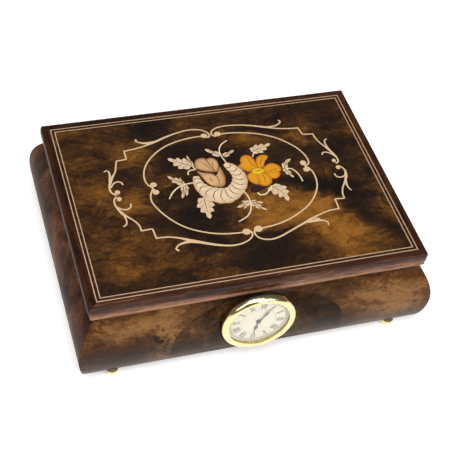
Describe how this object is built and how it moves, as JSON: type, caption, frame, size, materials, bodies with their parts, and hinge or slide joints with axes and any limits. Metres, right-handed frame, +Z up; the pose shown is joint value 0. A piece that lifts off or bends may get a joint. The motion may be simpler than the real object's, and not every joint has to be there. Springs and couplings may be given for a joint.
{
  "type": "inlaid musical jewellery box",
  "caption": "Bombe inlaid walnut jewellery box with a hinged moulded lid, a round clock insert in front, brass ball feet and a wind-up cylinder music movement inside.",
  "frame": {"origin": "on the ground under the middle of the closed box", "axes": "+X to the right seen from the clock side, +Y to the back, +Z up"},
  "size_m": [0.2376, 0.1806, 0.0675],
  "materials": {
    "walnut": "gloss lacquered walnut",
    "light_burl": "gloss lacquered light burl veneer",
    "medallion_burl": "gloss lacquered dark burl veneer",
    "dark_burl": "gloss lacquered walnut burl with inlay",
    "moulding": "gloss lacquered dark moulding",
    "stringing": "pale inlaid line",
    "plywood": "plain sheet",
    "velvet": "short pile velvet",
    "clear_cover": "clear acrylic sheet",
    "lens": "clear polished",
    "brass": "polished",
    "clock_black": "moulded",
    "dial": "matt ivory print",
    "hands": "black",
    "steel": "nickelled",
    "spring_steel": "blued spring steel",
    "white_plastic": "moulded"
  },
  "bodies": {
    "case": {"barrel_bridge": "steel", "bedplate": "steel", "case_back": "walnut", "case_floor": "plywood", "case_front": "light_burl", "case_left": "walnut", "case_right": "walnut", "comb": "spring_steel", "comb_screw_1": "steel", "comb_screw_2": "steel", "foot_back_left": "brass", "foot_back_right": "brass", "foot_front_left": "brass", "foot_front_right": "brass", "front_medallion": "medallion_burl", "governor_bracket": "steel", "hinge_case_leaf_left": "brass", "hinge_case_leaf_right": "brass", "hinge_pin_left": "brass", "hinge_pin_right": "brass", "movement_cover": "clear_cover", "partition_cross": "velvet", "partition_side": "velvet", "ring_cushion": "velvet", "tray_lining": "velvet", "tray_pad": "velvet"},
    "lid": {"lid_core": "walnut", "lid_moulding_front": "moulding", "lid_moulding_back": "moulding", "lid_moulding_left": "moulding", "lid_moulding_right": "moulding", "lid_field": "dark_burl", "lid_crossband": "moulding", "string_outer": "stringing", "string_inner": "stringing", "lid_lining": "velvet", "hinge_lid_leaf_left": "brass", "hinge_lid_leaf_right": "brass"},
    "clock_insert": {"clock_bezel": "brass", "clock_gasket": "clock_black", "clock_can": "clock_black", "clock_dial": "dial", "clock_lens": "lens"},
    "hour": {"hour_hand": "hands"},
    "minute": {"minute_hand": "hands"},
    "knob": {"setting_knob": "clock_black"},
    "winding": {"winding_arbor": "steel", "winding_key": "brass"},
    "barrel": {"spring_barrel": "brass", "barrel_cover": "brass", "mainspring": "spring_steel"},
    "cylinder_train": {"cylinder": "brass", "cylinder_arbor": "steel", "drive_pinion": "brass", "great_wheel": "brass"},
    "governor": {"governor_wheel": "white_plastic"},
    "brake": {"governor_worm": "steel", "air_brake": "white_plastic"},
    "stop": {"stop_rod": "steel"}
  },
  "joints": [
    {"name": "lid_hinge", "type": "hinge", "parent": "case", "child": "lid", "pos_m": [0, 0.0825, 0.0547], "axis": [-1, 0, 0], "range_deg": [0, 95]},
    {"name": "clock_pull", "type": "slide", "parent": "case", "child": "clock_insert", "axis": [0, -1, 0], "range_m": [0, 0.016]},
    {"name": "minute_hand_turn", "type": "hinge", "parent": "clock_insert", "child": "minute", "pos_m": [-0.0035, -0.088, 0.0372], "axis": [0, 1, 0], "continuous": true},
    {"name": "hour_hand_turn", "type": "hinge", "parent": "clock_insert", "child": "hour", "pos_m": [-0.0035, -0.0873, 0.0372], "axis": [0, 1, 0], "continuous": true},
    {"name": "setting_knob_turn", "type": "hinge", "parent": "clock_insert", "child": "knob", "pos_m": [-0.0035, -0.0693, 0.0372], "axis": [0, 1, 0], "continuous": true},
    {"name": "winding_key_turn", "type": "hinge", "parent": "case", "child": "winding", "pos_m": [0.052, 0.0465, 0.015], "axis": [0, 0, 1], "continuous": true},
    {"name": "cylinder_spin", "type": "hinge", "parent": "case", "child": "cylinder_train", "pos_m": [0.077, 0.0465, 0.0375], "axis": [1, 0, 0], "continuous": true},
    {"name": "barrel_turn", "type": "hinge", "parent": "case", "child": "barrel", "pos_m": [0.052, 0.0465, 0.0295], "axis": [0, 0, 1], "continuous": true},
    {"name": "governor_wheel_turn", "type": "hinge", "parent": "case", "child": "governor", "pos_m": [0.09, 0.0545, 0.0315], "axis": [1, 0, 0], "continuous": true},
    {"name": "air_brake_spin", "type": "hinge", "parent": "case", "child": "brake", "pos_m": [0.0908, 0.0607, 0.0355], "axis": [0, 0, 1], "continuous": true},
    {"name": "stop_rod_rise", "type": "slide", "parent": "case", "child": "stop", "axis": [0, 0, 1], "range_m": [0, 0.004]}
  ],
  "couplings": [
    {"joint": "hour_hand_turn", "follows": "minute_hand_turn", "ratio": 0.083333},
    {"joint": "setting_knob_turn", "follows": "minute_hand_turn", "ratio": 1},
    {"joint": "barrel_turn", "follows": "cylinder_spin", "ratio": 0.25},
    {"joint": "governor_wheel_turn", "follows": "cylinder_spin", "ratio": -4},
    {"joint": "air_brake_spin", "follows": "cylinder_spin", "ratio": 100},
    {"joint": "stop_rod_rise", "follows": "lid_hinge", "m_per_rad": 0.0024125}
  ]
}
